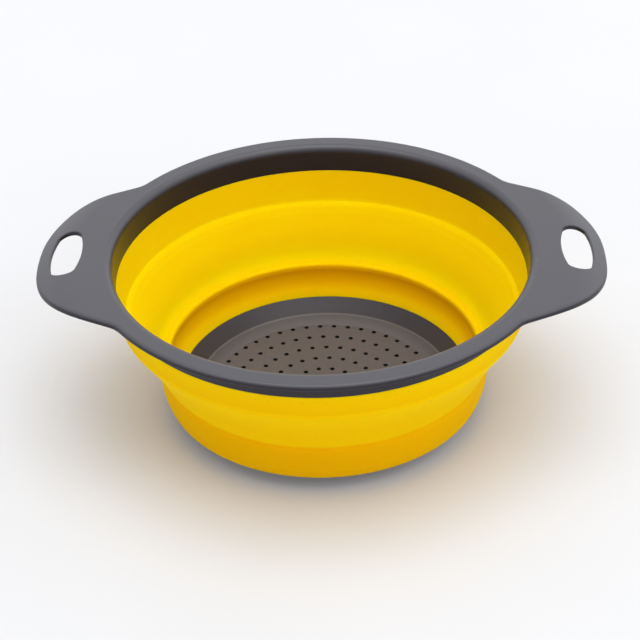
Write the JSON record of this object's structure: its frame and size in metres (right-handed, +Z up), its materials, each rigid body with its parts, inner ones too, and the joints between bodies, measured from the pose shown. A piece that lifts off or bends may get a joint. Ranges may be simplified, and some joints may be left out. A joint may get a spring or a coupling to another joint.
{
  "type": "collapsible colander",
  "caption": "Round collapsible colander: stiff grey rim with two slotted handles, soft folding yellow wall, and a drilled grey base.",
  "frame": {"origin": "on the table under the middle of the bowl, at the level of the foot ring", "axes": "+X through the two handles, +Z up out of the bowl, +Y across"},
  "size_m": [0.2936, 0.24, 0.0933],
  "materials": {
    "rim_plastic": "satin mid grey, fine texture",
    "base_plastic": "satin mid grey",
    "wall_rubber": "satin warm yellow, soft"
  },
  "bodies": {
    "base": {"strainer_base": "base_plastic", "wall_lower_band": "wall_rubber", "lower_fold": "wall_rubber"},
    "middle": {"wall_middle_band": "wall_rubber"},
    "rim": {"rim_frame": "rim_plastic", "wall_upper_band": "wall_rubber", "upper_fold": "wall_rubber"}
  },
  "joints": [
    {"name": "collapse", "type": "slide", "parent": "base", "child": "rim", "axis": [0, 0, 1], "range_m": [-0.058, 0]},
    {"name": "middle_follow", "type": "slide", "parent": "base", "child": "middle", "axis": [0, 0, 1], "range_m": [-0.029, 0]}
  ],
  "couplings": [
    {"joint": "middle_follow", "follows": "collapse", "ratio": 0.5}
  ]
}
